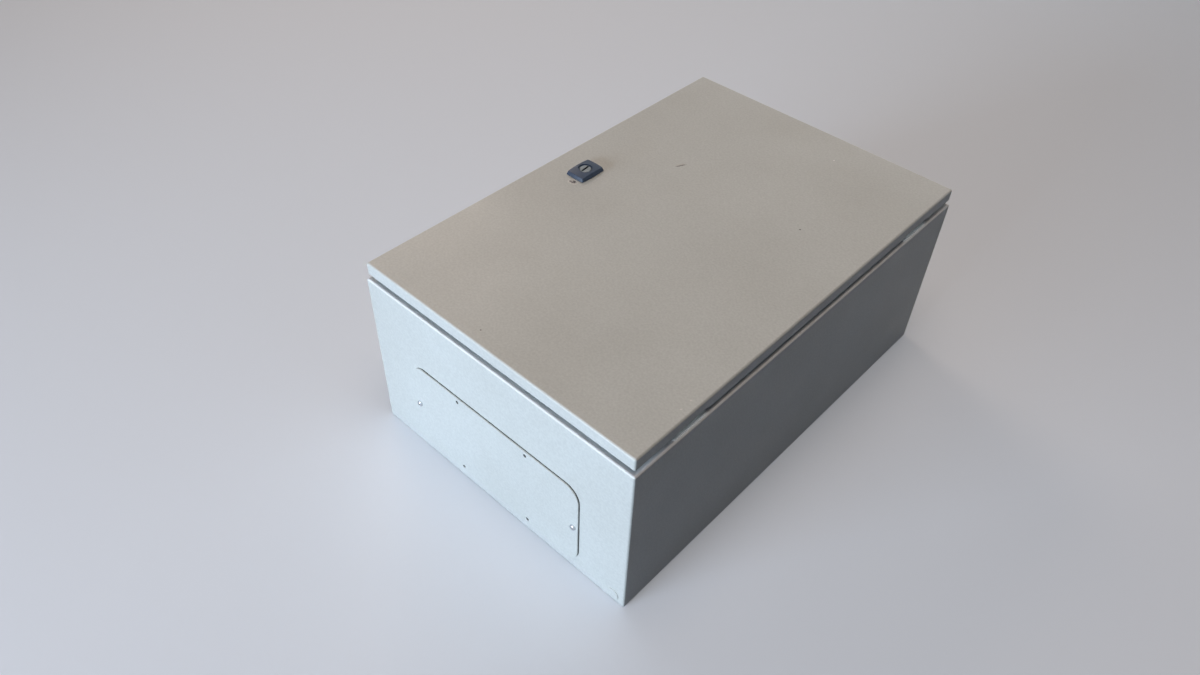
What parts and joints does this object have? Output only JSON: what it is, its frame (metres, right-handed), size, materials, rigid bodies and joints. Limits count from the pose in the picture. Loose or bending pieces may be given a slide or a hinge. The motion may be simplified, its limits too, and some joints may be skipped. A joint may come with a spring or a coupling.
{
  "type": "electrical enclosure",
  "caption": "Rectangular wall enclosure of folded sheet steel, lying on its back, with a hinged tray door, a quarter-turn lock, a gland plate on its bottom end and a mounting plate inside.",
  "frame": {"origin": "centre of the rear wall's outer face, which the enclosure lies on", "axes": "+X across, towards the hinges; +Y towards the enclosure's top end, away from the gland plate; +Z from the rear wall to the door"},
  "size_m": [0.4, 0.6051, 0.2561],
  "materials": {
    "body_paint": "fine textured powder coat, light grey",
    "door_paint": "fine textured powder coat, light grey",
    "seal_rubber": "matt",
    "foam_seal": "matt skinned foam",
    "bright_zinc": "bright zinc plated",
    "galvanised_sheet": "galvanised sheet",
    "lock_plastic": "satin moulded",
    "lock_zinc": "die-cast, nickel plated",
    "cast_zinc": "die-cast zinc",
    "pin_steel": "bright steel",
    "zinc_plate": "zinc plated"
  },
  "bodies": {
    "enclosure_body": {"body": "body_paint", "gland_seal": "seal_rubber", "gland_plate": "body_paint", "gland_screws": "bright_zinc", "mounting_plate": "galvanised_sheet", "mounting_studs": "zinc_plate", "plate_washers": "zinc_plate", "plate_nuts": "zinc_plate", "body_earth_stud": "zinc_plate", "body_earth_washer": "zinc_plate", "body_earth_nut": "zinc_plate", "hinge_bracket_lower": "cast_zinc", "hinge_bracket_upper": "cast_zinc", "hinge_pin_lower": "pin_steel", "hinge_pin_upper": "pin_steel", "bracket_screws": "bright_zinc"},
    "door": {"door": "door_paint", "door_seal": "foam_seal", "hinge_leaf_lower": "cast_zinc", "hinge_leaf_upper": "cast_zinc", "leaf_studs": "zinc_plate", "leaf_nuts": "zinc_plate", "lock_housing": "lock_plastic", "lock_seal": "seal_rubber", "lock_nut": "zinc_plate", "door_earth_stud": "zinc_plate", "door_earth_washer": "zinc_plate", "door_earth_nut": "zinc_plate"},
    "lock": {"lock_insert": "lock_zinc", "lock_cam": "zinc_plate", "cam_washer": "zinc_plate", "cam_screw": "zinc_plate"}
  },
  "joints": [
    {"name": "door_hinge", "type": "hinge", "parent": "enclosure_body", "child": "door", "pos_m": [0.1936, 0, 0.235], "axis": [0, 1, 0], "range_deg": [0, 110]},
    {"name": "lock_turn", "type": "hinge", "parent": "door", "child": "lock", "pos_m": [-0.1488, 0, 0.226], "axis": [0, 0, 1], "range_deg": [-6, 84]}
  ]
}
